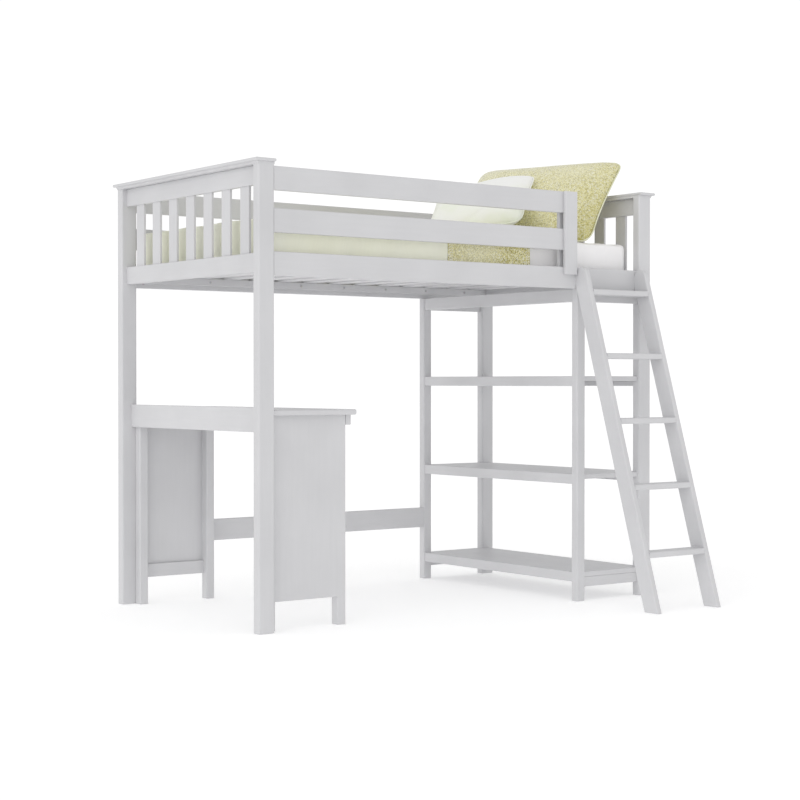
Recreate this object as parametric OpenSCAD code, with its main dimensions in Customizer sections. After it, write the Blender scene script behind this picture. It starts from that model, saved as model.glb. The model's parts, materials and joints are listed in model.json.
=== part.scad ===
// Loft bed with a desk under one end and an open bookcase under the other.
// X runs along the bed from the desk end to the bookcase end, Y from the ladder side to
// the wall side and Z up. Every board is placed from the front left corner of the bed
// frame, and the whole set is then moved so that the origin is under its middle.

/* [Bed frame] */
// Outside length over the end posts
bed_length = 2078; // [2040:1:2160]
// Outside width over the posts
bed_width = 1148; // [1120:1:1220]
// Height from the floor to the top of the cap rails
bed_height = 1810; // [1795:1:1860]
// Post size along the bed
post_x = 72; // [66:1:84]
// Post size across the bed
post_y = 43; // [38:1:50]
// Radius of the eased post edges
post_round = 8; // [2:1:12]

/* [Rails] */
// Height of the side rails and guard rails
rail_height = 92; // [80:1:96]
// Thickness of the side rails and guard rails
rail_thick = 24; // [18:1:28]
// Setback of the rails from the front face of the posts
rail_setback = 4; // [1:1:8]
// Underside of the side rails above the floor
side_rail_z = 1366; // [1340:1:1370]
// Underside of the lower guard rails above the floor
lower_guard_z = 1531; // [1515:1:1540]
// Underside of the upper guard rails above the floor
upper_guard_z = 1692; // [1670:1:1694]
// Width of the entry gap beside the front right post
entry_width = 386; // [380:1:400]

/* [End panels] */
// Number of upright slats in each end panel
end_slats = 7; // [5:1:9]
// Width of an upright slat
end_slat_width = 65; // [50:1:80]
// Thickness of the cross rails of the end panels
end_rail_thick = 24; // [18:1:30]
// Thickness of an upright slat
end_slat_thick = 11; // [8:1:16]

/* [Mattress base] */
// Number of slats under the mattress
bed_slats_count = 14; // [10:1:16]
// Width of a slat under the mattress
bed_slat_width = 68; // [50:1:80]
// Thickness of a slat under the mattress
bed_slat_thick = 18; // [15:1:20]

/* [Ladder] */
// Depth of a stringer across its slope
stringer_depth = 75; // [65:1:85]
// Thickness of a stringer
stringer_thick = 25; // [20:1:30]
// Distance of the foot of a stringer in front of the side rail
ladder_reach = 423; // [400:1:450]
// Number of treads
treads = 5; // [5:1:5]
// Thickness of a tread
tread_thick = 25; // [20:1:30]

/* [Desk] */
// Height of the desk top above the floor
desk_height = 852; // [820:1:870]
// Depth of the desk top along the bed
desk_depth = 400; // [360:1:460]
// Thickness of the desk top
desk_thick = 22; // [18:1:26]

/* [Bookcase] */
// Number of shelves
shelves = 3; // [3:1:3]
// Height of the lowest shelf above the floor
first_shelf = 127; // [120:1:140]
// Rise from one shelf to the next
shelf_rise = 429; // [415:1:435]
// Thickness of a shelf
shelf_thick = 22; // [16:1:24]

/* [Bedding] */
// Length of the mattress
mattress_length = 1905; // [1890:1:1910]
// Width of the mattress
mattress_width = 1000; // [960:1:1010]
// Thickness of the mattress
mattress_thick = 144; // [120:1:170]
// Length of the duvet along the bed
duvet_length = 880; // [600:1:900]
// Width of the throw band along the bed
throw_width = 450; // [300:1:460]

/* [Hidden] */

$fn = 48;
eps = 1;
board_round = 3;

// Cap rails
cap_thick = 12;
cove_radius = 10;
cap_outer = 16;
cap_inner = 2;
cap_end = 10;
post_top = bed_height - cap_thick - cove_radius;

// End panels
end_rail_x = (post_x - end_rail_thick) / 2;
end_slat_x = (post_x - end_slat_thick) / 2;
end_rail_height = 74;
end_lower_z = 1380;
inner_front = post_y;
inner_rear = bed_width - post_y;
end_slat_gap = (inner_rear - inner_front - end_slats * end_slat_width) / (end_slats + 1);

// Side rails, guard rails and mattress base
rail_front = rail_setback;
rail_back = rail_setback + rail_thick;
rail_end = bed_length - post_x;
side_rail_top = side_rail_z + rail_height;
guard_end = rail_end - entry_width;
stile_width = 70;
stile_thick = 18;
stile_lap = 33;
ledger_thick = 22;
ledger_height = 32;
ledger_z = side_rail_z + 20;
slat_z = ledger_z + ledger_height;
slat_end_gap = 12;
slat_side_gap = 1;

// Ladder
lean = 0.305;
lean_angle = atan(lean);
stringer_run = stringer_depth / cos(lean_angle);
foot_back = rail_front - ladder_reach;
foot_front = foot_back - stringer_run;
stringer_round = 5;
ladder_gap = 1;
ladder_right = rail_end - ladder_gap - stringer_thick;
ladder_left = guard_end + 5;
first_tread = 236;
tread_rise = 278.4;
tread_depth = 76;
tread_round = 6;
// The stringer ends in a full round that touches the rail, the front edge and the rail top.
nose_gap = rail_front - foot_front - lean * side_rail_top;
nose_radius = nose_gap * cos(lean_angle) / (1 + cos(lean_angle) - sin(lean_angle));

// Desk
apron_x = 44;
apron_thick = 18;
outer_apron_z = 765;
outer_apron_top = desk_height + 10;
leg_x = 40;
leg_y = 44;
leg_round = 5;
desk_x = apron_x + apron_thick;
desk_top_y = 12;
leg_top = desk_height - desk_thick;
leg_inner_x = desk_x + desk_depth - 70;
inner_apron_thick = 24;
inner_apron_height = 40;
panel_thick = 5;
panel_inset = 7;
panel_z = 112;
desk_rail_thick = 12;
desk_rail_height = 57;
slab_round = 6;

// Rear stretcher
stretcher_z = 252;
stretcher_height = 95;
stretcher_thick = 22;

// Bookcase
case_x = 1637;
case_post_x = 47;
case_post_y = 38;
case_post_inset = 6;
case_front_y = case_post_inset + case_post_y;
edge_inset = 6;
edge_thick = 18;
edge_height = 44;
shelf_y = 12;
shelf_end = bed_length - 28;
bearer_x = shelf_end - 30;
bearer_thick = 22;
bearer_height = edge_height - shelf_thick;
side_board_y = 10;
side_board_thick = 18;
top_rail_height = 56;

// Fasteners
bolt_r = 4;
bolt_in_post = 45;
bolt_in_rail = 53;
bolt_fit = 0.1;
nut_r = 6;
nut_x = 40;
nut_length = 18;
bolt_rows = [side_rail_z + 20, side_rail_z + 54];
guard_rows = [lower_guard_z + rail_height / 2, upper_guard_z + rail_height / 2];
ladder_bolt_r = 3;
ladder_bolt_depth = 30;
ladder_bolt_z = side_rail_top - 17;
ladder_head_r = 6;
ladder_head_h = 4;
screw_r = 2.2;
screw_head_r = 5;
screw_head_h = 2.5;
screw_count = 8;
screw_depth = 38;
screw_pitch = (rail_end - post_x) / screw_count;

// Bedding
soft_gap = 0.5;
mattress_x = 94;
mattress_y = (bed_width - mattress_width) / 2;
mattress_z = slat_z + bed_slat_thick;
mattress_top = mattress_z + mattress_thick;
mattress_round = 30;
duvet_thick = 30;
duvet_side = 20;
duvet_foot = 11;
duvet_round = 14;
drape_z = 1447;
throw_thick = 12;
throw_round = 5;
throw_x = mattress_x - soft_gap - duvet_foot + duvet_length + 2;
cushion_corner_r = 26;
white_size = [470, 430, 130];
gold_size = [740, 520, 160];

// The middle of the whole set, which stands at the origin
front_y = foot_front;
rear_y = bed_width + cap_end;
mid_x = bed_length / 2;
mid_y = (front_y + rear_y) / 2;

// ---------------------------------------------------------------- helpers

module placed() {
    translate([-mid_x, -mid_y, 0]) children();
}

module paint() {
    color([0.93, 0.93, 0.94]) placed() children();
}

module steel() {
    color([0.45, 0.45, 0.47]) placed() children();
}

// Mirror image about the middle of the bed's length
module other_end() {
    translate([bed_length, 0, 0]) mirror([1, 0, 0]) children();
}

// Mirror image about the middle of the bed's width
module other_side() {
    translate([0, bed_width, 0]) mirror([0, 1, 0]) children();
}

module block(x, y, z) {
    translate([x[0], y[0], z[0]]) cube([x[1] - x[0], y[1] - y[0], z[1] - z[0]]);
}

// Rectangle with round corners, from one corner to the other
module eased(a, b, r) {
    translate([a[0] + r, b[0]]) square([a[1] - a[0] - 2 * r, b[1] - b[0]]);
    translate([a[0], b[0] + r]) square([a[1] - a[0], b[1] - b[0] - 2 * r]);
    for (u = [a[0] + r, a[1] - r], v = [b[0] + r, b[1] - r])
        translate([u, v]) circle(r);
}

// Boards with eased long edges that run along X, Y or Z
module board_x(x, y, z, r = board_round) {
    translate([x[0], 0, 0])
        rotate([90, 0, 90]) linear_extrude(x[1] - x[0]) eased(y, z, r);
}

module board_y(x, y, z, r = board_round) {
    translate([0, y[1], 0])
        rotate([90, 0, 0]) linear_extrude(y[1] - y[0]) eased(x, z, r);
}

module board_z(x, y, z, r = board_round) {
    translate([0, 0, z[0]]) linear_extrude(z[1] - z[0]) eased(x, y, r);
}

// Board lying flat with all four of its upper and lower edges eased
module slab(x, y, z, r) {
    intersection() {
        board_x([x[0] - eps, x[1] + eps], y, z, r);
        board_y(x, [y[0] - eps, y[1] + eps], z, r);
    }
}

// ---------------------------------------------------------------- fasteners

// Double-ended bolt between a post and the end of a rail, out of sight in both
module bolt(r) {
    translate([-bolt_in_post, 0, 0])
        rotate([0, 90, 0]) cylinder(r = r, h = bolt_in_post + bolt_in_rail);
}

// Places where the rows of bolts cross the joint between the front left post and a rail
module at_rail_bolts(rows) {
    for (z = rows)
        translate([post_x, rail_front + rail_thick / 2, z]) children();
}

// Round nut across the rail, let in from the rail's inner face
module nut(r, extra) {
    translate([nut_x, rail_thick / 2 - nut_length, 0])
        rotate([-90, 0, 0]) cylinder(r = r, h = nut_length + extra);
}

// Holes for the bolts and nuts at the left end of a front rail
module rail_holes(rows) {
    at_rail_bolts(rows) {
        bolt(bolt_r + bolt_fit);
        nut(nut_r + bolt_fit, eps);
    }
}

module at_ledger_screws() {
    for (i = [0 : screw_count - 1])
        translate([post_x + (i + 0.5) * screw_pitch, rail_back + ledger_thick,
                   ledger_z + ledger_height / 2])
            children();
}

module screw_shank(r) {
    rotate([90, 0, 0]) cylinder(r = r, h = screw_depth);
}

module at_ladder_bolts() {
    for (x = [ladder_left, ladder_right])
        translate([x + stringer_thick / 2, rail_back, ladder_bolt_z]) children();
}

// Shank and sunk head of a bolt through the side rail into a stringer
module ladder_bolt(fit, extra) {
    rotate([90, 0, 0]) cylinder(r = ladder_bolt_r + fit, h = rail_thick + ladder_bolt_depth);
    translate([0, extra, 0])
        rotate([90, 0, 0]) cylinder(r = ladder_head_r + fit, h = ladder_head_h + extra);
}

// Same place at another corner of the bed
module corner(end, side) {
    translate([end * bed_length, side * bed_width, 0])
        mirror([end, 0, 0]) mirror([0, side, 0]) children();
}

// Every rail joint: the side rails at all four corners, the guards at three
module at_all_joints() {
    for (end = [0, 1], side = [0, 1])
        corner(end, side) at_rail_bolts(bolt_rows) children();
    for (place = [[0, 0], [0, 1], [1, 1]])
        corner(place[0], place[1]) at_rail_bolts(guard_rows) children();
}

module frame_bolts() {
    steel() {
        at_all_joints() bolt(bolt_r);
        at_ladder_bolts() ladder_bolt(0, 0);
    }
}

module barrel_nuts() {
    steel()
        at_all_joints()
            difference() {
                nut(nut_r, 0);
                bolt(bolt_r + bolt_fit);
            }
}

module ledger_screws() {
    steel()
        for (side = [0, 1])
            corner(0, side) at_ledger_screws() {
                screw_shank(screw_r);
                rotate([-90, 0, 0]) cylinder(r = screw_head_r, h = screw_head_h);
            }
}

// ---------------------------------------------------------------- end panels

module bed_post(rows) {
    difference() {
        board_z([0, post_x], [0, post_y], [0, post_top], post_round);
        at_rail_bolts(rows) bolt(bolt_r + bolt_fit);
    }
}

module post_front_left() {
    paint() bed_post(concat(bolt_rows, guard_rows));
}

module post_front_right() {
    paint() other_end() bed_post(bolt_rows);
}

module post_rear_left() {
    paint() other_side() bed_post(concat(bolt_rows, guard_rows));
}

module post_rear_right() {
    paint() other_side() other_end() bed_post(concat(bolt_rows, guard_rows));
}

// Moulded cap: a flat board with a hollow moulding under its outer edge
module cap_rail() {
    top_z = bed_height - cap_thick;
    slab([-cap_outer, post_x + cap_inner], [-cap_end, bed_width + cap_end],
         [top_z, bed_height], 4);
    translate([0, bed_width, post_top])
        rotate([90, 0, 0]) linear_extrude(bed_width) difference() {
            translate([-cove_radius, 0]) square([post_x + cove_radius, cove_radius]);
            translate([-cove_radius, 0]) circle(cove_radius);
        }
}

module left_cap_rail() {
    paint() cap_rail();
}

module right_cap_rail() {
    paint() other_end() cap_rail();
}

module end_cross_rail(z) {
    board_y([end_rail_x, end_rail_x + end_rail_thick], [inner_front, inner_rear],
            [z, z + end_rail_height]);
}

module left_upper_rail() {
    paint() end_cross_rail(post_top - end_rail_height);
}

module right_upper_rail() {
    paint() other_end() end_cross_rail(post_top - end_rail_height);
}

module left_lower_rail() {
    paint() end_cross_rail(end_lower_z);
}

module right_lower_rail() {
    paint() other_end() end_cross_rail(end_lower_z);
}

module end_panel_slats() {
    for (i = [0 : end_slats - 1]) {
        y = inner_front + end_slat_gap + i * (end_slat_width + end_slat_gap);
        board_z([end_slat_x, end_slat_x + end_slat_thick], [y, y + end_slat_width],
                [end_lower_z + end_rail_height, post_top - end_rail_height], 2);
    }
}

module left_end_slats() {
    paint() end_panel_slats();
}

module right_end_slats() {
    paint() other_end() end_panel_slats();
}

// ---------------------------------------------------------------- rails and mattress base

module side_rail() {
    difference() {
        board_x([post_x, rail_end], [rail_front, rail_back], [side_rail_z, side_rail_top]);
        rail_holes(bolt_rows);
        other_end() rail_holes(bolt_rows);
        at_ledger_screws() screw_shank(screw_r + bolt_fit);
    }
}

module front_side_rail() {
    paint() difference() {
        side_rail();
        at_ladder_bolts() ladder_bolt(bolt_fit, eps);
    }
}

module rear_side_rail() {
    paint() other_side() side_rail();
}

module ledger() {
    difference() {
        board_x([post_x, rail_end], [rail_back, rail_back + ledger_thick],
                [ledger_z, slat_z], 2);
        at_ledger_screws() screw_shank(screw_r + bolt_fit);
    }
}

module front_ledger() {
    paint() ledger();
}

module rear_ledger() {
    paint() other_side() ledger();
}

module bed_slats() {
    first = post_x + slat_end_gap;
    pitch = (rail_end - slat_end_gap - bed_slat_width - first) / (bed_slats_count - 1);
    paint()
        for (i = [0 : bed_slats_count - 1])
            board_y([first + i * pitch, first + i * pitch + bed_slat_width],
                    [rail_back + slat_side_gap, bed_width - rail_back - slat_side_gap],
                    [slat_z, slat_z + bed_slat_thick]);
}

module guard_rail(z, end_x) {
    board_x([post_x, end_x], [rail_front, rail_back], [z, z + rail_height]);
}

module front_guard(row, z) {
    paint() difference() {
        guard_rail(z, guard_end);
        rail_holes([guard_rows[row]]);
    }
}

module rear_guard(row, z) {
    paint() other_side() difference() {
        guard_rail(z, rail_end);
        rail_holes([guard_rows[row]]);
        other_end() rail_holes([guard_rows[row]]);
    }
}

module front_upper_guard() {
    front_guard(1, upper_guard_z);
}

module front_lower_guard() {
    front_guard(0, lower_guard_z);
}

module rear_upper_guard() {
    rear_guard(1, upper_guard_z);
}

module rear_lower_guard() {
    rear_guard(0, lower_guard_z);
}

// Short uprights that clasp both front guard rails beside the entry gap; the outer one
// also laps the side rail
module guard_stiles() {
    x = [guard_end - stile_width, guard_end];
    top = upper_guard_z + rail_height;
    paint() {
        board_z(x, [rail_front - stile_thick, rail_front], [side_rail_top - stile_lap, top], 4);
        board_z(x, [rail_back, rail_back + stile_thick], [side_rail_top, top], 4);
    }
}

// ---------------------------------------------------------------- ladder

// Side outline of a stringer in the Y and Z plane
module stringer_outline() {
    contact_z = ladder_reach / lean;
    nose = [rail_front - nose_radius, side_rail_top - nose_radius];
    touch = nose + nose_radius * [-cos(lean_angle), sin(lean_angle)];
    polygon([[foot_front, 0], [foot_back, 0], [rail_front, contact_z],
             [rail_front, nose[1]], nose, touch]);
    translate(nose) circle(nose_radius);
}

// Long bar with eased edges that leans back along the ladder's slope
module leaning_bar(x) {
    translate([0, foot_front, 0]) rotate([-lean_angle, 0, 0])
        board_z([x, x + stringer_thick], [0, 2 * stringer_depth], [-200, 1700],
                stringer_round);
}

// The outline with its front edge eased by the leaning bar
module stringer(x) {
    difference() {
        intersection() {
            translate([x, 0, 0])
                rotate([90, 0, 90]) linear_extrude(stringer_thick) stringer_outline();
            leaning_bar(x);
        }
        at_ladder_bolts() ladder_bolt(bolt_fit, eps);
    }
}

module ladder_stringer_left() {
    paint() stringer(ladder_left);
}

module ladder_stringer_right() {
    paint() stringer(ladder_right);
}

module tread(n) {
    z = first_tread + (n - 1) * tread_rise;
    y = foot_front + stringer_run / 2 + lean * z;
    paint()
        board_x([ladder_left + stringer_thick, ladder_right],
                [y - tread_depth / 2, y + tread_depth / 2],
                [z - tread_thick / 2, z + tread_thick / 2], tread_round);
}

module ladder_tread_1() {
    tread(1);
}

module ladder_tread_2() {
    tread(2);
}

module ladder_tread_3() {
    tread(3);
}

module ladder_tread_4() {
    tread(4);
}

module ladder_tread_5() {
    tread(5);
}

// ---------------------------------------------------------------- desk

// Corner notches leave room for the two posts behind the desk top
module desk_top() {
    paint() difference() {
        slab([desk_x, desk_x + desk_depth], [desk_top_y, bed_width - desk_top_y],
             [leg_top, desk_height], slab_round);
        for (side = [0, 1])
            corner(0, side)
                block([-eps, post_x], [-eps, post_y], [leg_top - eps, desk_height + eps]);
    }
}

module desk_outer_apron() {
    paint()
        board_y([apron_x, desk_x], [inner_front, inner_rear],
                [outer_apron_z, outer_apron_top]);
}

module desk_inner_apron() {
    x = leg_inner_x + leg_x;
    paint()
        board_y([x, x + inner_apron_thick], [inner_front, inner_rear],
                [leg_top - inner_apron_height, leg_top]);
}

// Thin skin let flush into the outer faces of the legs of one side
module desk_skin() {
    block([desk_x + panel_inset, leg_inner_x + leg_x - panel_inset],
          [inner_front, inner_front + panel_thick], [panel_z, leg_top]);
}

module desk_leg(x) {
    difference() {
        board_z([x, x + leg_x], [inner_front, inner_front + leg_y], [0, leg_top], leg_round);
        desk_skin();
    }
}

module desk_leg_front_outer() {
    paint() desk_leg(desk_x);
}

module desk_leg_front_inner() {
    paint() desk_leg(leg_inner_x);
}

module desk_leg_rear_outer() {
    paint() other_side() desk_leg(desk_x);
}

module desk_leg_rear_inner() {
    paint() other_side() desk_leg(leg_inner_x);
}

module desk_front_panel() {
    paint() desk_skin();
}

module desk_rear_panel() {
    paint() other_side() desk_skin();
}

// Bottom and top rails between the legs of one side, behind the skin
module desk_side_rails() {
    y = inner_front + panel_thick;
    for (z = [panel_z, leg_top - desk_rail_height])
        board_x([desk_x + leg_x, leg_inner_x], [y, y + desk_rail_thick],
                [z, z + desk_rail_height], 2);
}

module desk_front_rails() {
    paint() desk_side_rails();
}

module desk_rear_rails() {
    paint() other_side() desk_side_rails();
}

// Long board behind the desk's rear leg and the bookcase's rear post
module rear_stretcher() {
    paint()
        board_x([leg_inner_x, case_x], [inner_rear, inner_rear + stretcher_thick],
                [stretcher_z, stretcher_z + stretcher_height]);
}

// ---------------------------------------------------------------- bookcase

module case_post() {
    board_z([case_x, case_x + case_post_x], [case_post_inset, case_front_y],
            [0, side_rail_z], 6);
}

module bookcase_front_post() {
    paint() case_post();
}

module bookcase_rear_post() {
    paint() other_side() case_post();
}

function shelf_top(n) = first_shelf + n * shelf_rise;

// Shelf board, notched round the bookcase posts and between the bed posts
module shelf(n) {
    x = case_x + edge_inset + edge_thick;
    z = [shelf_top(n) - shelf_thick, shelf_top(n)];
    paint() difference() {
        board_x([x, shelf_end], [shelf_y, bed_width - shelf_y], z);
        for (side = [0, 1])
            corner(0, side) {
                block([x - eps, case_x + case_post_x], [-eps, case_front_y],
                      [z[0] - eps, z[1] + eps]);
                block([rail_end, shelf_end + eps], [-eps, post_y],
                      [z[0] - eps, z[1] + eps]);
            }
    }
}

module bookcase_shelf_lower() {
    shelf(0);
}

module bookcase_shelf_middle() {
    shelf(1);
}

module bookcase_shelf_upper() {
    shelf(2);
}

module case_cross_board(z) {
    board_y([case_x + edge_inset, case_x + edge_inset + edge_thick],
            [case_front_y, bed_width - case_front_y], z);
}

module bookcase_shelf_edges() {
    paint()
        for (n = [0 : shelves - 1])
            case_cross_board([shelf_top(n) - edge_height, shelf_top(n)]);
}

module bookcase_shelf_bearers() {
    paint()
        for (n = [0 : shelves - 1])
            board_y([bearer_x, bearer_x + bearer_thick], [inner_front, inner_rear],
                    [shelf_top(n) - shelf_thick - bearer_height, shelf_top(n) - shelf_thick]);
}

// Board along one side of the bookcase, between its post and the bed post
module case_side_board(y, z) {
    board_x([case_x + case_post_x, rail_end], [y, y + side_board_thick], z);
}

module bookcase_base_aprons() {
    z = first_shelf - shelf_thick;
    paint()
        for (side = [0, 1])
            corner(0, side) case_side_board(shelf_y + 2, [z - edge_height, z]);
}

module bookcase_top_rail() {
    paint() case_cross_board([side_rail_z - top_rail_height, side_rail_z]);
}

module bookcase_front_top_rail() {
    paint() case_side_board(side_board_y, [side_rail_z - top_rail_height, side_rail_z]);
}

module bookcase_rear_top_rail() {
    paint() other_side()
        case_side_board(side_board_y, [side_rail_z - top_rail_height, side_rail_z]);
}

// ---------------------------------------------------------------- bedding

module mattress() {
    color([0.96, 0.96, 0.96]) placed()
        board_z([mattress_x, mattress_x + mattress_length],
                [mattress_y, mattress_y + mattress_width],
                [mattress_z, mattress_top], mattress_round);
}

// Cover over the mattress that hangs down on both sides, from x[0] to x[1]
module draped_cover(x, side, thick, foot, r) {
    y = [mattress_y - soft_gap, mattress_y + mattress_width + soft_gap];
    difference() {
        slab([x[0], x[1]], [y[0] - side, y[1] + side],
             [drape_z, mattress_top + soft_gap + thick], r);
        block([x[0] + foot, x[1] + eps], y, [drape_z - eps, mattress_top + soft_gap]);
    }
}

module duvet() {
    x = mattress_x - soft_gap - duvet_foot;
    color([0.86, 0.89, 0.74]) placed()
        draped_cover([x, x + duvet_length], duvet_side, duvet_thick, duvet_foot,
                     duvet_round);
}

module sequin_throw() {
    color([0.80, 0.78, 0.52]) placed()
        draped_cover([throw_x, throw_x + throw_width], throw_thick, throw_thick, -eps,
                     throw_round);
}

// Crowned cushion: thin at its four corners and full in the middle
module cushion(size) {
    hull() {
        for (u = [-1, 1], v = [-1, 1])
            translate([u * (size[0] / 2 - cushion_corner_r),
                       v * (size[1] / 2 - cushion_corner_r), 0])
                sphere(cushion_corner_r, $fn = 24);
        scale([0.42 * size[0], 0.42 * size[1], size[2] / 2]) sphere(1, $fn = 32);
    }
}

// A cushion on its edge: turned about the upright, leant back, then turned in its own plane
module leaning_cushion(place, turn, tilt, roll, size) {
    translate(place) rotate([0, 0, turn]) rotate([tilt, 0, 0]) rotate([0, 0, roll])
        cushion(size);
}

// Leans on the front of the gold cushion, one corner up
module pillow_white() {
    color([0.94, 0.96, 0.92]) placed()
        leaning_cushion([1503, 514, 1757], -70, 35, 16, white_size);
}

// Stands on its long edge and leans back over the end panel
module pillow_gold() {
    color([0.85, 0.82, 0.55]) placed()
        leaning_cushion([1777, 453, 1779], -69, 47, 0, gold_size);
}

// ---------------------------------------------------------------- assembly

post_front_left();
post_front_right();
post_rear_left();
post_rear_right();
left_cap_rail();
right_cap_rail();
left_upper_rail();
right_upper_rail();
left_lower_rail();
right_lower_rail();
left_end_slats();
right_end_slats();
front_side_rail();
rear_side_rail();
front_ledger();
rear_ledger();
bed_slats();
front_upper_guard();
front_lower_guard();
guard_stiles();
rear_upper_guard();
rear_lower_guard();
ladder_stringer_left();
ladder_stringer_right();
ladder_tread_1();
ladder_tread_2();
ladder_tread_3();
ladder_tread_4();
ladder_tread_5();
desk_top();
desk_outer_apron();
desk_inner_apron();
desk_leg_front_outer();
desk_leg_front_inner();
desk_leg_rear_outer();
desk_leg_rear_inner();
desk_front_panel();
desk_rear_panel();
desk_front_rails();
desk_rear_rails();
rear_stretcher();
bookcase_front_post();
bookcase_rear_post();
bookcase_shelf_lower();
bookcase_shelf_middle();
bookcase_shelf_upper();
bookcase_shelf_edges();
bookcase_shelf_bearers();
bookcase_base_aprons();
bookcase_top_rail();
bookcase_front_top_rail();
bookcase_rear_top_rail();
frame_bolts();
barrel_nuts();
ledger_screws();
mattress();
duvet();
sequin_throw();
pillow_white();
pillow_gold();
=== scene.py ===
"""Loft bed with a desk and a bookcase under it: materials, bedding, light and camera."""

import json
import math

import bmesh
import bpy
import numpy as np
from mathutils import Matrix, Vector, noise
from mathutils.bvhtree import BVHTree


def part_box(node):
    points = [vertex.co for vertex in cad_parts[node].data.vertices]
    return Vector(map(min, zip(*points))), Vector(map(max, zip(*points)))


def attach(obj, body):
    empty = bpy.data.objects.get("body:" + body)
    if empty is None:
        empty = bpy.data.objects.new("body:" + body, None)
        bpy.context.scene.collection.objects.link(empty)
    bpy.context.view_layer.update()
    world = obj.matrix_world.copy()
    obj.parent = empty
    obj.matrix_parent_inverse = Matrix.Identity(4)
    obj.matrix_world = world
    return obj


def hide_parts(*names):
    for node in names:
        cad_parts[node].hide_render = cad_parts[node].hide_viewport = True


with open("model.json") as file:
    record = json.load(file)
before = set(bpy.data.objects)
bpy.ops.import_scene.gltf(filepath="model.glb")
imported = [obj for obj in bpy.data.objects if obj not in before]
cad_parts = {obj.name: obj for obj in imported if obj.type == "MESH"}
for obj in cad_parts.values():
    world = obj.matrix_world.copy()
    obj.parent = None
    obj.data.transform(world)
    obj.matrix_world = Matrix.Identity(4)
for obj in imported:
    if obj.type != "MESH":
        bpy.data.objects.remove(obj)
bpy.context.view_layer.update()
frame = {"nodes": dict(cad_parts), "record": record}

MM = 0.001
BED_BODY = "mattress_set"

# Camera: where the viewer stands in the frame, and which way the lens looks
CAMERA_PLACE = Vector((-4.491, -5.849, 0.959))
CAMERA_TURN = math.radians(-36.74)
CAMERA_TILT = math.radians(89.4)
CAMERA_LENS = 77.09

# Covers
DUVET_GRID = 7 * MM
THROW_GRID = 14 * MM
DUVET_POCKET = 0.29
DUVET_CHANNEL = 11 * MM

# Cushions
CUSHION_GRID = 11 * MM
CUSHION_FRAMES = 20
# How far the simulated filling may move a point of the case
CUSHION_LIMIT = 12 * MM
# How much of a cushion is flattened where it rests, and the height over which it gives way
CUSHION_FLAT = 8 * MM
CUSHION_SOFT = 160 * MM
LEAN_GAP = 0.5 * MM
SIDE_PULL = 0.035
CORNER_BLUNT = 0.08
CROWN_REACH = 2.6
PIPING = 3 * MM

# Weave, and the way toward which the painted highlight turns the gold sequin cloth pale, over its
# own box
THREAD_DENSITY = 2.2 / (2 * math.pi)
PAINTED_LIGHT_WAY = (-0.35, 0.35, 0.5)

# Light: the room's strength, the backdrop's, and lamps as name, way, strength and spread
ROOM_LIGHT = 0.73
BACKDROP_LIGHT = 1.05
LAMPS = (("key", (0.90, 0.10, -0.50), 0.32, 60), ("fill", (0.66, 0.72, -0.22), 0.52, 90))


# ---------------------------------------------------------------- node helpers

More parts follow.
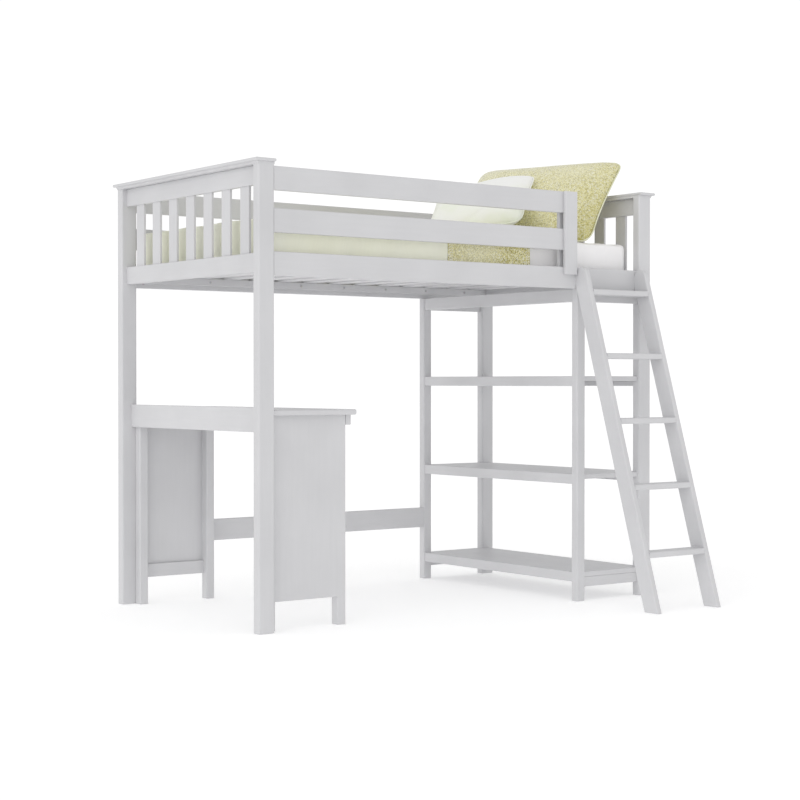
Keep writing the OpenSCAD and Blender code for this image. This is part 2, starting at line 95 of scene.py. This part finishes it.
class Nodes:
    """A material's node tree with short ways to add and join nodes."""

    def __init__(self, name):
        self.material = bpy.data.materials.new(name)
        self.material.use_nodes = True
        self.tree = self.material.node_tree
        self.tree.nodes.clear()
        self.shader = self.add("ShaderNodeBsdfPrincipled")
        out = self.add("ShaderNodeOutputMaterial")
        self.join(self.shader.outputs[0], out.inputs["Surface"])

    def add(self, kind, **values):
        node = self.tree.nodes.new(kind)
        for key, value in values.items():
            setattr(node, key, value)
        return node

    def join(self, source, target):
        self.tree.links.new(source, target)

    def place(self, scale):
        """Object coordinates, stretched by scale (x, y, z)."""
        coords = self.add("ShaderNodeTexCoord")
        mapping = self.add("ShaderNodeMapping")
        mapping.inputs["Scale"].default_value = scale
        self.join(coords.outputs["Object"], mapping.inputs["Vector"])
        return mapping.outputs["Vector"]

    def noise(self, where, scale, detail=4.0, roughness=0.5):
        node = self.add("ShaderNodeTexNoise")
        node.inputs["Scale"].default_value = scale
        node.inputs["Detail"].default_value = detail
        node.inputs["Roughness"].default_value = roughness
        self.join(where, node.inputs["Vector"])
        return node.outputs["Fac"]

    def cells(self, where, scale, randomness=1.0):
        node = self.add("ShaderNodeTexVoronoi")
        node.inputs["Scale"].default_value = scale
        node.inputs["Randomness"].default_value = randomness
        self.join(where, node.inputs["Vector"])
        return node

    def threads(self, where, axis, scale):
        node = self.add("ShaderNodeTexWave", bands_direction=axis)
        node.inputs["Scale"].default_value = scale
        node.inputs["Distortion"].default_value = 0.6
        node.inputs["Detail"].default_value = 1.0
        self.join(where, node.inputs["Vector"])
        return node.outputs["Fac"]

    def ramp(self, source, stops):
        """Colour ramp through stops of (place, colour)."""
        node = self.add("ShaderNodeValToRGB")
        elements = node.color_ramp.elements
        while len(elements) < len(stops):
            elements.new(0.5)
        for element, (place, colour) in zip(elements, stops):
            element.position = place
            element.color = (*colour, 1.0)
        self.join(source, node.inputs["Fac"])
        return node.outputs["Color"]

    def span(self, source, low, high, start=0.0, end=1.0):
        """Moves a value from start..end to low..high."""
        node = self.add("ShaderNodeMapRange")
        node.inputs["From Min"].default_value = start
        node.inputs["From Max"].default_value = end
        node.inputs["To Min"].default_value = low
        node.inputs["To Max"].default_value = high
        self.join(source, node.inputs["Value"])
        return node.outputs["Result"]

    def maths(self, operation, a, b):
        node = self.add("ShaderNodeMath", operation=operation)
        for socket, value in zip(node.inputs, (a, b)):
            if isinstance(value, (int, float)):
                socket.default_value = value
            else:
                self.join(value, socket)
        return node.outputs[0]

    def mix(self, factor, a, b):
        node = self.add("ShaderNodeMix", data_type="RGBA")
        for socket, value in ((node.inputs[0], factor), (node.inputs[6], a), (node.inputs[7], b)):
            if isinstance(value, (int, float)):
                socket.default_value = value
            elif isinstance(value, tuple):
                socket.default_value = (*value, 1.0)
            else:
                self.join(value, socket)
        return node.outputs[2]

    def bump(self, height, strength, distance, under=None):
        node = self.add("ShaderNodeBump")
        node.inputs["Strength"].default_value = strength
        node.inputs["Distance"].default_value = distance
        self.join(height, node.inputs["Height"])
        if under is not None:
            self.join(under, node.inputs["Normal"])
        return node.outputs["Normal"]

    def finish(self, colour, roughness, normal):
        self.join(colour, self.shader.inputs["Base Color"])
        self.join(roughness, self.shader.inputs["Roughness"])
        self.join(normal, self.shader.inputs["Normal"])
        return self.material


# ---------------------------------------------------------------- materials

def painted_wood(axis):
    """Satin white paint over pine, its grain running along one axis."""
    n = Nodes("white_painted_wood_" + "xyz"[axis])
    long_way = tuple(1.0 if i == axis else 14.0 for i in range(3))
    fine_way = tuple(3.0 if i == axis else 90.0 for i in range(3))
    grain = n.noise(n.place(long_way), 5.0, 5.0, 0.6)
    fibre = n.noise(n.place(fine_way), 6.0, 3.0, 0.7)
    cloud = n.noise(n.place((1.0, 1.0, 1.0)), 3.5, 3.0)
    tone = n.ramp(cloud, [(0.3, (0.615, 0.614, 0.628)), (0.7, (0.662, 0.661, 0.675))])
    streak = n.span(grain, 0.0, 0.22, 0.35, 0.75)
    colour = n.mix(streak, tone, (0.57, 0.57, 0.58))
    rough = n.span(n.maths("ADD", n.maths("MULTIPLY", grain, 0.6), fibre), 0.34, 0.52, 0.5, 1.1)
    brushed = n.bump(fibre, 0.10, 0.4 * MM)
    normal = n.bump(grain, 0.16, 0.9 * MM, brushed)
    n.shader.inputs["Coat Weight"].default_value = 0.12
    n.shader.inputs["Coat Roughness"].default_value = 0.3
    n.shader.inputs["Specular IOR Level"].default_value = 0.4
    return n.finish(colour, rough, normal)


def zinc_steel():
    n = Nodes("zinc_steel")
    where = n.place((1.0, 1.0, 1.0))
    spangle = n.cells(where, 260.0).outputs["Color"]
    scratch = n.noise(n.place((20.0, 400.0, 400.0)), 3.0, 3.0)
    colour = n.mix(0.14, (0.50, 0.50, 0.52), spangle)
    rough = n.span(scratch, 0.28, 0.5)
    n.shader.inputs["Metallic"].default_value = 1.0
    return n.finish(colour, rough, n.bump(scratch, 0.1, 0.2 * MM))


def woven_height(n, across, pitch):
    """Height of a plain weave: two sets of threads, the second along the given way across."""
    where = n.place((1.0, 1.0, 1.0))
    bands = THREAD_DENSITY / pitch
    warp = n.threads(where, "X", bands)
    weft = n.threads(where, across, bands)
    return n.maths("MAXIMUM", warp, weft)


def cotton(name, light, dark, patch_scale, sheen, third=None):
    """Plain woven cotton, washed unevenly between two or three colours."""
    n = Nodes(name)
    where = n.place((1.0, 1.0, 1.0))
    wash = n.noise(where, patch_scale, 3.0, 0.55)
    stops = [(0.36, dark), (0.62, light)]
    if third is not None:
        stops = [(0.34, dark), (0.50, light), (0.66, third)]
    colour = n.ramp(wash, stops)
    weave = woven_height(n, "Y", 1.4 * MM)
    slub = n.noise(where, 320.0, 2.0)
    # Painted shade: the hollows between the threads are darkened a little
    colour = n.mix(n.span(weave, 0.10, 0.0), colour, tuple(0.8 * c for c in dark))
    crease = n.noise(where, 22.0, 4.0, 0.6)
    rough = n.span(slub, 0.78, 0.94)
    normal = n.bump(weave, 0.22, 0.35 * MM)
    normal = n.bump(crease, 0.35, 2.2 * MM, normal)
    n.shader.inputs["Sheen Weight"].default_value = sheen
    n.shader.inputs["Sheen Roughness"].default_value = 0.5
    n.shader.inputs["Specular IOR Level"].default_value = 0.2
    return n.finish(colour, rough, normal)


def sequin_cloth(name, size, pale, paints_light_and_shade=False):
    """Cloth covered in small sequins: each has its own tilt, tone and gloss.

    When asked, the cloth gets a painted highlight that turns it pale toward one upper corner of its
    piece, and painted shade that turns it olive away from it."""
    n = Nodes(name)
    where = n.place((1.0, 1.0, 1.0))
    disc = n.cells(where, 1.0 / size, 0.85)
    apart = n.add("ShaderNodeSeparateColor")
    n.join(disc.outputs["Color"], apart.inputs[0])
    pick, tilt, gloss = apart.outputs
    tones = [
        (0.00, (0.28, 0.24, 0.05)),
        (0.16, (0.60, 0.54, 0.16)),
        (0.40, (0.86, 0.80, 0.38)),
        (0.72, (0.97, 0.93, 0.56)),
        (0.92, (1.00, 0.99, 0.86)),
    ]
    colour = n.ramp(pick, tones)
    # Random pale patches; where painted light is asked for below, they also carry a painted
    # highlight
    pale_patch_and_painted_highlight = n.span(n.noise(where, 3.2, 2.0), 0.0, pale, 0.42, 0.62)
    # Painted light and shade across the piece: a painted highlight toward one upper corner, painted
    # shade in olive away from it
    if paints_light_and_shade:
        over = n.add("ShaderNodeVectorMath", operation="DOT_PRODUCT")
        over.inputs[1].default_value = PAINTED_LIGHT_WAY
        n.join(n.add("ShaderNodeTexCoord").outputs["Generated"], over.inputs[0])
        painted_highlight = n.span(over.outputs["Value"], 0.0, 0.9, -0.1, 0.4)
        pale_patch_and_painted_highlight = n.maths("MULTIPLY", n.maths("ADD", pale_patch_and_painted_highlight, 0.4), painted_highlight)
        painted_shade = n.span(over.outputs["Value"], 0.6, 0.0, -0.25, 0.3)
        colour = n.mix(painted_shade, colour, (0.40, 0.36, 0.08))
    colour = n.mix(pale_patch_and_painted_highlight, colour, (0.97, 0.95, 0.72))
    edge = n.span(disc.outputs["Distance"], 0.0, 0.45, 0.35, 0.75)
    colour = n.mix(edge, colour, (0.48, 0.45, 0.20))
    dome = n.maths("SUBTRACT", n.maths("MULTIPLY", tilt, 2.2), disc.outputs["Distance"])
    normal = n.bump(dome, 0.55, 1.4 * MM)
    rough = n.span(gloss, 0.22, 0.6)
    n.join(n.span(pick, 0.05, 0.45), n.shader.inputs["Metallic"])
    n.shader.inputs["Coat Weight"].default_value = 0.35
    n.shader.inputs["Coat Roughness"].default_value = 0.15
    return n.finish(colour, rough, normal)


WOOD = [painted_wood(axis) for axis in range(3)]
STEEL = zinc_steel()
MATTRESS = cotton("mattress_ticking", (0.97, 0.96, 0.965), (0.94, 0.93, 0.935), 5.0, 0.15)
DUVET = cotton("pale_green_cotton", (0.95, 0.955, 0.81), (0.945, 0.948, 0.785), 3.0, 0.25,
               (0.952, 0.957, 0.84))
WHITE_COTTON = cotton("white_cotton", (0.94, 0.955, 0.88), (0.89, 0.93, 0.79), 4.5, 0.25,
                      (0.95, 0.95, 0.93))
# The gold cushion's cloth carries painted light and shade across it
SEQUINS = sequin_cloth("gold_sequin_cloth", 5.5 * MM, 0.45, paints_light_and_shade=True)
THROW_SEQUINS = sequin_cloth("gold_sequin_throw", 4.5 * MM, 0.6)
BEADS = cotton("pale_beads", (0.97, 0.96, 0.86), (0.93, 0.90, 0.70), 40.0, 0.3)
HEM = cotton("pale_hem", (0.84, 0.84, 0.66), (0.74, 0.74, 0.50), 8.0, 0.2)


def grain_axis(name):
    low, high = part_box(name)
    size = high - low
    return max(range(3), key=lambda i: size[i])


def dress_cad_nodes():
    """Gives every rigid CAD node its procedural finish."""
    slots = {s["node"]: s["material_slot"] for s in frame["record"]["subparts"]}
    for name, obj in frame["nodes"].items():
        if slots[name] == "zinc_steel":
            material = STEEL
        else:
            # A group of short boards is taken along its own boards, not along the row of them
            along = {"bed_slats": 1, "left_end_slats": 2, "right_end_slats": 2,
                     "bookcase_base_aprons": 0, "desk_front_rails": 0, "desk_rear_rails": 0,
                     "desk_front_panel": 2, "desk_rear_panel": 2}
            material = WOOD[along.get(name, grain_axis(name))]
        obj.data.materials.clear()
        obj.data.materials.append(material)


# ---------------------------------------------------------------- mesh helpers

def mesh_object(name, points, faces, material, smooth=True):
    mesh = bpy.data.meshes.new(name)
    mesh.from_pydata([tuple(p) for p in points], [], faces)
    mesh.validate()
    mesh.update()
    for polygon in mesh.polygons:
        polygon.use_smooth = smooth
    obj = bpy.data.objects.new(name, mesh)
    bpy.context.scene.collection.objects.link(obj)
    obj.data.materials.append(material)
    return obj


def apply_modifiers(obj):
    graph = bpy.context.evaluated_depsgraph_get()
    done = bpy.data.meshes.new_from_object(obj.evaluated_get(graph))
    obj.modifiers.clear()
    old = obj.data
    obj.data = done
    bpy.data.meshes.remove(old)


def outward(obj):
    """Makes a closed mesh's faces point outward."""
    work = bmesh.new()
    work.from_mesh(obj.data)
    bmesh.ops.recalc_face_normals(work, faces=work.faces)
    work.to_mesh(obj.data)
    work.free()


def tube(name, points, radius, material, closed=False):
    """Round cord through the points, as a mesh."""
    curve = bpy.data.curves.new(name, "CURVE")
    curve.dimensions = "3D"
    curve.bevel_depth = radius
    curve.bevel_resolution = 3
    curve.use_fill_caps = not closed
    spline = curve.splines.new("POLY")
    spline.points.add(len(points) - 1)
    for point, place in zip(spline.points, points):
        point.co = (*place, 1.0)
    spline.use_cyclic_u = closed
    obj = bpy.data.objects.new(name, curve)
    bpy.context.scene.collection.objects.link(obj)
    graph = bpy.context.evaluated_depsgraph_get()
    mesh = bpy.data.meshes.new_from_object(obj.evaluated_get(graph))
    bpy.data.objects.remove(obj)
    piece = bpy.data.objects.new(name, mesh)
    bpy.context.scene.collection.objects.link(piece)
    piece.data.materials.clear()
    piece.data.materials.append(material)
    for polygon in piece.data.polygons:
        polygon.use_smooth = True
    return piece


def ripple(place, scale, seed):
    """Smooth noise from -1 to 1 at a place."""
    return noise.noise(Vector(place) * scale + Vector((seed, 0.37 * seed, 0.0)))


# ---------------------------------------------------------------- mattress

def rounded_box(low, high, radii, step, open_sides=()):
    """Points, outward ways and faces of a box with ellipsoid corners, less its open sides.

    A side is (axis, 0) or (axis, 1). Edges next to an open side stay square."""
    low, high, radii = (np.array(v, float) for v in (low, high, radii))
    index, points, faces = {}, [], []
    counts = np.maximum(4, np.round((high - low) / step)).astype(int)
    core_low, core_high = low + radii, high - radii
    for axis, end in open_sides:
        if end:
            core_high[axis] = high[axis]
        else:
            core_low[axis] = low[axis]

    def corner(cell):
        key = tuple(cell)
        if key not in index:
            index[key] = len(points)
            # Crowd the lines of the grid toward the edges, where the surface turns
            part = np.array(key) / counts
            eased = part - 0.9 * np.sin(2 * math.pi * part) / (2 * math.pi)
            points.append(low + eased * (high - low))
        return index[key]

    for axis in range(3):
        u, v = [i for i in range(3) if i != axis]
        for end in (0, 1):
            if (axis, end) in open_sides:
                continue
            for i in range(counts[u]):
                for j in range(counts[v]):
                    ring = []
                    for di, dj in ((0, 0), (1, 0), (1, 1), (0, 1)):
                        cell = [0, 0, 0]
                        cell[axis], cell[u], cell[v] = end * counts[axis], i + di, j + dj
                        ring.append(corner(cell))
                    faces.append(ring)
    points = np.array(points)
    core = np.clip(points, core_low, core_high)
    way = (points - core) / radii
    way /= np.maximum(np.linalg.norm(way, axis=1, keepdims=True), 1e-9)
    rounded = core + way * radii
    ways = way / radii
    ways /= np.maximum(np.linalg.norm(ways, axis=1, keepdims=True), 1e-9)
    return rounded, ways, faces


def plan_ring(low, high, radius, z, inset, corner_steps=8, step=25 * MM):
    """Closed ring of points round a rectangle with round corners, at one height."""
    x0, y0 = low[0] + inset, low[1] + inset
    x1, y1 = high[0] - inset, high[1] - inset
    ring = []
    corners = (((x1 - radius, y0 + radius), -90), ((x1 - radius, y1 - radius), 0),
               ((x0 + radius, y1 - radius), 90), ((x0 + radius, y0 + radius), 180))
    for (cx, cy), start in corners:
        for i in range(corner_steps + 1):
            angle = math.radians(start + 90 * i / corner_steps)
            ring.append((cx + radius * math.cos(angle), cy + radius * math.sin(angle), z))
    full = []
    for a, b in zip(ring, ring[1:] + ring[:1]):
        steps = max(1, int(math.dist(a, b) / step))
        for i in range(steps):
            full.append(tuple(p + (q - p) * i / steps for p, q in zip(a, b)))
    return full


def make_mattress():
    """Mattress in a fitted sheet: soft sides, slack pulled toward the corners, corded seams."""
    low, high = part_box("mattress")
    rim = 30 * MM
    points, _, faces = rounded_box(low, high, (rim, rim, 20 * MM), 22 * MM)
    middle = (low + high) / 2
    half = (high - low) / 2
    shaped = []
    for point in points:
        u = (point[0] - middle.x) / half.x
        v = (point[1] - middle.y) / half.y
        w = (point[2] - middle.z) / half.z
        level = max(0.0, w)
        slack = 1.6 * MM * ripple(point, 7.0, 3.1) + 1.1 * MM * ripple(point, 23.0, 8.4)
        pulled = (abs(u) ** 6 + abs(v) ** 6) * 1.2 * MM * math.sin(46.0 * (u + v))
        sink = 3.0 * MM * level * (1.0 - 0.6 * max(abs(u) ** 8, abs(v) ** 8))
        side = (2.0 * MM * (1.0 - w * w) - 2.5 * MM) * max(abs(u) ** 20, abs(v) ** 12)
        x = point[0] + math.copysign(min(0.0, side + slack * 0.5), u) * abs(u) ** 20
        y = point[1] + math.copysign(min(0.0, side + slack + pulled * 0.4), v) * abs(v) ** 12
        z = point[2] + min(0.0, (slack + pulled) * level - sink) * abs(w) ** 2
        shaped.append((x, y, z))
    body = mesh_object("mattress_in_sheet", shaped, faces, MATTRESS)
    outward(body)
    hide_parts("mattress")
    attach(body, BED_BODY)
    for name, z in (("upper", high.z - 14 * MM), ("lower", low.z + 14 * MM)):
        ring = plan_ring(low, high, rim, z, inset=2.5 * MM)
        seam = tube("mattress_cord_" + name, ring, 2.2 * MM, MATTRESS, closed=True)
        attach(seam, BED_BODY)


# ---------------------------------------------------------------- covers

def cover(name, low, high, bend, open_sides, grid, thick, relief, material):
    """Cloth over the bed: a box open at its bottom, where relief(place, way) moves the surface."""
    points, ways, faces = rounded_box(low, high, (bend, bend, bend), grid, open_sides)
    moved = [place + way * relief(place, way) for place, way in zip(points, ways)]
    obj = mesh_object(name, moved, faces, material)
    outward(obj)
    solid = obj.modifiers.new("thickness", "SOLIDIFY")
    solid.thickness = thick
    solid.offset = -1
    apply_modifiers(obj)
    return obj


def make_duvet():
    """Quilted duvet over the foot of the bed, hanging down at both sides and at the foot."""
    low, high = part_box("duvet")
    inset = Vector((3 * MM, 5 * MM, 5 * MM))
    low_in = low + inset
    high_in = high - inset
    middle = (low.y + high.y) / 2

    def relief(place, way):
        x, y, z = place
        cell_x = abs(math.sin(math.pi * (x - low.x) / DUVET_POCKET))
        cell_y = abs(math.sin(math.pi * (y - middle) / DUVET_POCKET))
        top = max(0.0, way[2])
        hang = 1.0 - top
        # Pockets of filling between sewn channels
        puff = DUVET_CHANNEL * ((cell_x * cell_y) ** 0.3 - 1.0) * top
        fold = 3.0 * MM * ripple((x, y, 0.6 * z), 6.5, 5.2)
        # Creases are deepest beside the channels that hold the cloth down
        held = 1.0 + 1.5 * top * (1.0 - cell_x * cell_y)
        crease = 1.5 * MM * held * ripple((0.6 * x, y, z), 24.0, 1.7)
        along = x + y
        drop = min(1.0, (high.z - z) / 0.1)
        gather = 2.6 * MM * drop * math.sin(34.0 * along + 3.0 * ripple(place, 4.0, 2.0))
        loose = fold + crease
        # The foot hangs in a narrow gap before the end panel, so it lies flatter there
        calm = 1.0 - 0.7 * max(0.0, -way[0])
        return (puff + loose * (0.4 + 0.6 * top) + gather * hang) * calm - 1.5 * MM

    duvet = cover("duvet_quilt", low_in, high_in, 20 * MM, ((2, 0), (0, 1)), DUVET_GRID, 9 * MM,
                  relief, DUVET)
    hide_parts("duvet")
    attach(duvet, BED_BODY)
    # Corded hem round the two sides and the foot
    z = low_in.z - 1 * MM
    x, y0, y1 = low_in.x + 5 * MM, low_in.y + 5 * MM, high_in.y - 5 * MM
    hem = [(high_in.x, y0, z), (x + 20 * MM, y0, z), (x + 6 * MM, y0 + 6 * MM, z),
           (x, y0 + 20 * MM, z), (x, y1 - 20 * MM, z), (x + 6 * MM, y1 - 6 * MM, z),
           (x + 20 * MM, y1, z), (high_in.x, y1, z)]
    seam = tube("duvet_hem", fine_line(hem, 20 * MM), 4.5 * MM, DUVET)
    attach(seam, BED_BODY)


def fine_line(corners, step):
    """The line through the corners, cut into short lengths."""
    line = []
    for a, b in zip(corners, corners[1:]):
        count = max(1, int(math.dist(a, b) / step))
        line += [tuple(p + (q - p) * i / count for p, q in zip(a, b)) for i in range(count)]
    return line + [corners[-1]]


def over_the_bed(low, high, bend):
    """Line over the bed from hem to hem in the Y and Z plane."""
    line = [(low.y, low.z)]
    for cy, start in ((low.y + bend, 180), (high.y - bend, 90)):
        for i in range(9):
            angle = math.radians(start - 90 * i / 8)
            line.append((cy + bend * math.cos(angle), high.z - bend + bend * math.sin(angle)))
    return line + [(high.y, low.z)]


def bead_row(name, x, line, radius, pitch):
    """Row of small beads sewn along a cover's edge."""
    lengths = [math.dist(a, b) for a, b in zip(line, line[1:])]
    runs = np.concatenate([[0], np.cumsum(lengths)])
    ys, zs = np.array(line).T
    work = bmesh.new()
    for i in range(int(runs[-1] / pitch)):
        run = (i + 0.5) * pitch
        place = Vector((x + 0.6 * MM * math.sin(2.3 * i), np.interp(run, runs, ys),
                        np.interp(run, runs, zs)))
        bmesh.ops.create_icosphere(work, subdivisions=1, radius=radius,
                                   matrix=Matrix.Translation(place))
    mesh = bpy.data.meshes.new(name)
    work.to_mesh(mesh)
    work.free()
    for polygon in mesh.polygons:
        polygon.use_smooth = True
    obj = bpy.data.objects.new(name, mesh)
    bpy.context.scene.collection.objects.link(obj)
    obj.data.materials.append(BEADS)
    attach(obj, BED_BODY)
    return obj


def make_throw():
    """Sequin throw across the bed, with a beaded band along both long edges."""
    low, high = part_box("sequin_throw")
    bend = 16 * MM
    low_in = low + Vector((1 * MM, 3.5 * MM, 2 * MM))
    high_in = high - Vector((1 * MM, 3.5 * MM, 3.5 * MM))

    def relief(place, way):
        x, y, z = place
        fold = 1.5 * MM * ripple((x, y, 0.5 * z), 9.0, 7.7)
        fine = 0.7 * MM * ripple((x, y, z), 30.0, 4.2)
        edge = min(x - low_in.x, high_in.x - x)
        return (fold + fine) * min(1.0, edge / 0.03)

    throw = cover("sequin_throw_cloth", low_in, high_in, bend, ((2, 0), (0, 0), (0, 1)), THROW_GRID,
                  3 * MM, relief, THROW_SEQUINS)
    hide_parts("sequin_throw")
    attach(throw, BED_BODY)
    line = over_the_bed(low_in, high_in, bend)
    rows = (low_in.x + 8 * MM, low_in.x + 20 * MM, high_in.x - 20 * MM, high_in.x - 8 * MM)
    beads = [bead_row(f"throw_beads_{i + 1}", x, line, 3.4 * MM, 11 * MM)
             for i, x in enumerate(rows)]


# ---------------------------------------------------------------- cushions

def own_axes(name):
    """Centre, axes (width, height, thickness) and size of a cushion's CAD solid."""
    co = np.array([v.co for v in frame["nodes"][name].data.vertices])
    co = np.unique(np.round(co, 6), axis=0)
    mean = co.mean(0)
    axes = np.linalg.svd(co - mean, full_matrices=False)[2]
    axes[2] = np.cross(axes[0], axes[1])
    spread = (co - mean) @ axes.T
    low, high = spread.min(0), spread.max(0)
    return mean + (low + high) / 2 @ axes, axes, high - low


def sewn_case(size):
    """A filled case of two panels sewn round their rim: points, faces and the rim in order."""
    nu, nv = (int(length / CUSHION_GRID) for length in size[:2])
    index, points, faces = {}, [], []
    for side in (1, -1):
        for i in range(nu + 1):
            for j in range(nv + 1):
                rim = i in (0, nu) or j in (0, nv)
                key = (i, j, 0 if rim else side)
                if key in index:
                    continue
                index[key] = len(points)
                u, v = 2 * i / nu - 1, 2 * j / nv - 1
                # Sides pull in between the corners, and the corners are a little blunt
                blunt = CORNER_BLUNT * (u * v) ** 8
                x = u * size[0] / 2 * (1 - SIDE_PULL * (1 - v * v) - blunt)
                y = v * size[1] / 2 * (1 - SIDE_PULL * (1 - u * u) - blunt)
                crown = ((1 - abs(u) ** CROWN_REACH) * (1 - abs(v) ** CROWN_REACH)) ** 0.5
                sag = 1 + 0.05 * ripple((u, v, side), 2.2, 4.6)
                points.append((x, y, 0.0 if rim else side * size[2] / 2 * crown * sag))

    def at(i, j, side):
        return index.get((i, j, side), index.get((i, j, 0)))

    for side in (1, -1):
        for i in range(nu):
            for j in range(nv):
                around = ((i, j), (i + 1, j), (i + 1, j + 1), (i, j + 1))
                ring = tuple(at(*cell, side) for cell in around)
                faces.append(ring if side > 0 else ring[::-1])
    rim = ([(i, 0) for i in range(nu)] + [(nu, j) for j in range(nv)]
           + [(i, nv) for i in range(nu, 0, -1)] + [(0, j) for j in range(nv, 0, -1)])
    return points, faces, [index[(i, j, 0)] for i, j in rim]


def places(obj):
    return np.array([v.co for v in obj.data.vertices])


def press_out(obj):
    """Lets the filling press the case out by cloth simulation, no point further than the limit."""
    start = places(obj)
    cloth = obj.modifiers.new("filling", "CLOTH")
    settings = cloth.settings
    settings.quality = 6
    settings.mass = 0.3
    settings.tension_stiffness = 15
    settings.compression_stiffness = 15
    settings.shear_stiffness = 5
    settings.bending_stiffness = 0.5
    settings.use_pressure = True
    settings.uniform_pressure_force = 4
    settings.effector_weights.gravity = 0
    cloth.collision_settings.use_self_collision = False
    scene = bpy.context.scene
    scene.frame_start = 1
    scene.frame_end = CUSHION_FRAMES
    for step in range(1, CUSHION_FRAMES + 1):
        scene.frame_set(step)
    apply_modifiers(obj)
    scene.frame_set(1)
    move = places(obj) - start
    length = np.linalg.norm(move, axis=1, keepdims=True)
    move *= np.minimum(1.0, CUSHION_LIMIT / np.maximum(length, 1e-9))
    obj.data.vertices.foreach_set("co", (start + move).astype(np.float32).ravel())


def seated(placed, floor):
    """The points of a cushion whose lower part sinks onto the floor under it, and is flat there."""
    height = placed[:, 2] - placed[:, 2].min()
    sink = placed[:, 2].min() - (floor - CUSHION_FLAT)
    placed[:, 2] -= sink * np.clip(1.0 - height / CUSHION_SOFT, 0.0, 1.0) ** 2
    placed[:, 2] = np.maximum(placed[:, 2], floor)
    return placed


def lean_on(obj, other):
    """Moves the points of a cushion that lie just inside another one out to its surface."""
    surface = BVHTree.FromObject(other, bpy.context.evaluated_depsgraph_get())
    for vertex in obj.data.vertices:
        place, way, _, distance = surface.find_nearest(vertex.co)
        if distance < CUSHION_FLAT and (vertex.co - place).dot(way) < LEAN_GAP:
            vertex.co = place + way * LEAN_GAP


def make_cushion(name, cad_node, body, material, piping, rests_on, leans_on=None):
    """A filled, piped case in the place and pose of its CAD solid."""
    centre, axes, size = own_axes(cad_node)
    size = size - np.array((2, 2, 0)) * PIPING
    points, faces, rim = sewn_case(size * 0.97)
    obj = mesh_object(name, points, faces, material)
    press_out(obj)
    co = places(obj)
    co -= (co.max(0) + co.min(0)) / 2
    co *= size / (co.max(0) - co.min(0))
    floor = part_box(rests_on)[1].z + 1 * MM
    placed = seated(centre + co @ axes, floor)
    obj.data.vertices.foreach_set("co", placed.astype(np.float32).ravel())
    smooth = obj.modifiers.new("smooth", "SUBSURF")
    smooth.levels = 1
    smooth.render_levels = 1
    apply_modifiers(obj)
    if leans_on is not None:
        lean_on(obj, leans_on)
    outward(obj)
    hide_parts(cad_node)
    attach(obj, body)
    edge = placed[rim]
    edge[:, 2] = np.maximum(edge[:, 2], floor + PIPING)
    seam = tube(name + "_piping", [tuple(p) for p in edge], PIPING, piping, closed=True)
    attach(seam, body)
    return obj


# ---------------------------------------------------------------- studio

def make_floor():
    size = 60.0
    floor = mesh_object("studio_floor", [(-size, -size, 0), (size, -size, 0), (size, size, 0),
                                         (-size, size, 0)], [(0, 1, 2, 3)], floor_material())
    floor.location.z = -0.5 * MM


def floor_material():
    n = Nodes("pale_floor")
    cloud = n.noise(n.place((1.0, 1.0, 1.0)), 1.5, 2.0)
    colour = n.ramp(cloud, [(0.0, (0.95, 0.95, 0.95)), (1.0, (0.97, 0.97, 0.97))])
    n.shader.inputs["Emission Color"].default_value = (1.0, 1.0, 1.0, 1.0)
    n.shader.inputs["Emission Strength"].default_value = 0.27
    return n.finish(colour, n.span(cloud, 0.85, 0.95), n.bump(cloud, 0.01, 0.1 * MM))


def make_light():
    """Soft studio light: a pale room, a white backdrop for the camera, and two wide lamps."""
    scene = bpy.context.scene
    world = bpy.data.worlds.new("studio")
    world.use_nodes = True
    tree = world.node_tree
    room = tree.nodes["Background"]
    room.inputs["Color"].default_value = (1.0, 1.0, 1.0, 1.0)
    room.inputs["Strength"].default_value = ROOM_LIGHT
    backdrop = tree.nodes.new("ShaderNodeBackground")
    backdrop.inputs["Color"].default_value = (1.0, 1.0, 1.0, 1.0)
    backdrop.inputs["Strength"].default_value = BACKDROP_LIGHT
    rays = tree.nodes.new("ShaderNodeLightPath")
    choose = tree.nodes.new("ShaderNodeMixShader")
    tree.links.new(rays.outputs["Is Camera Ray"], choose.inputs[0])
    tree.links.new(room.outputs[0], choose.inputs[1])
    tree.links.new(backdrop.outputs[0], choose.inputs[2])
    tree.links.new(choose.outputs[0], tree.nodes["World Output"].inputs["Surface"])
    scene.world = world
    for name, way, strength, spread in LAMPS:
        lamp = bpy.data.lights.new(name, "SUN")
        lamp.energy = strength
        lamp.angle = math.radians(spread)
        obj = bpy.data.objects.new(name, lamp)
        obj.rotation_euler = Vector(way).to_track_quat("-Z", "Y").to_euler()
        scene.collection.objects.link(obj)
    scene.view_settings.view_transform = "Standard"


def make_camera():
    data = bpy.data.cameras.new("camera")
    data.lens = CAMERA_LENS
    data.sensor_width = 36
    data.clip_end = 200
    camera = bpy.data.objects.new("camera", data)
    camera.location = CAMERA_PLACE
    camera.rotation_euler = (CAMERA_TILT, 0.0, CAMERA_TURN)
    bpy.context.scene.collection.objects.link(camera)
    bpy.context.scene.camera = camera


# ---------------------------------------------------------------- build

dress_cad_nodes()
make_mattress()
make_duvet()
make_throw()
gold = make_cushion("gold_cushion_filled", "pillow_gold", "gold_cushion",
                    SEQUINS, HEM, "mattress")
make_cushion("white_cushion_filled", "pillow_white", "white_cushion",
             WHITE_COTTON, WHITE_COTTON, "sequin_throw", leans_on=gold)
make_floor()
make_light()
make_camera()
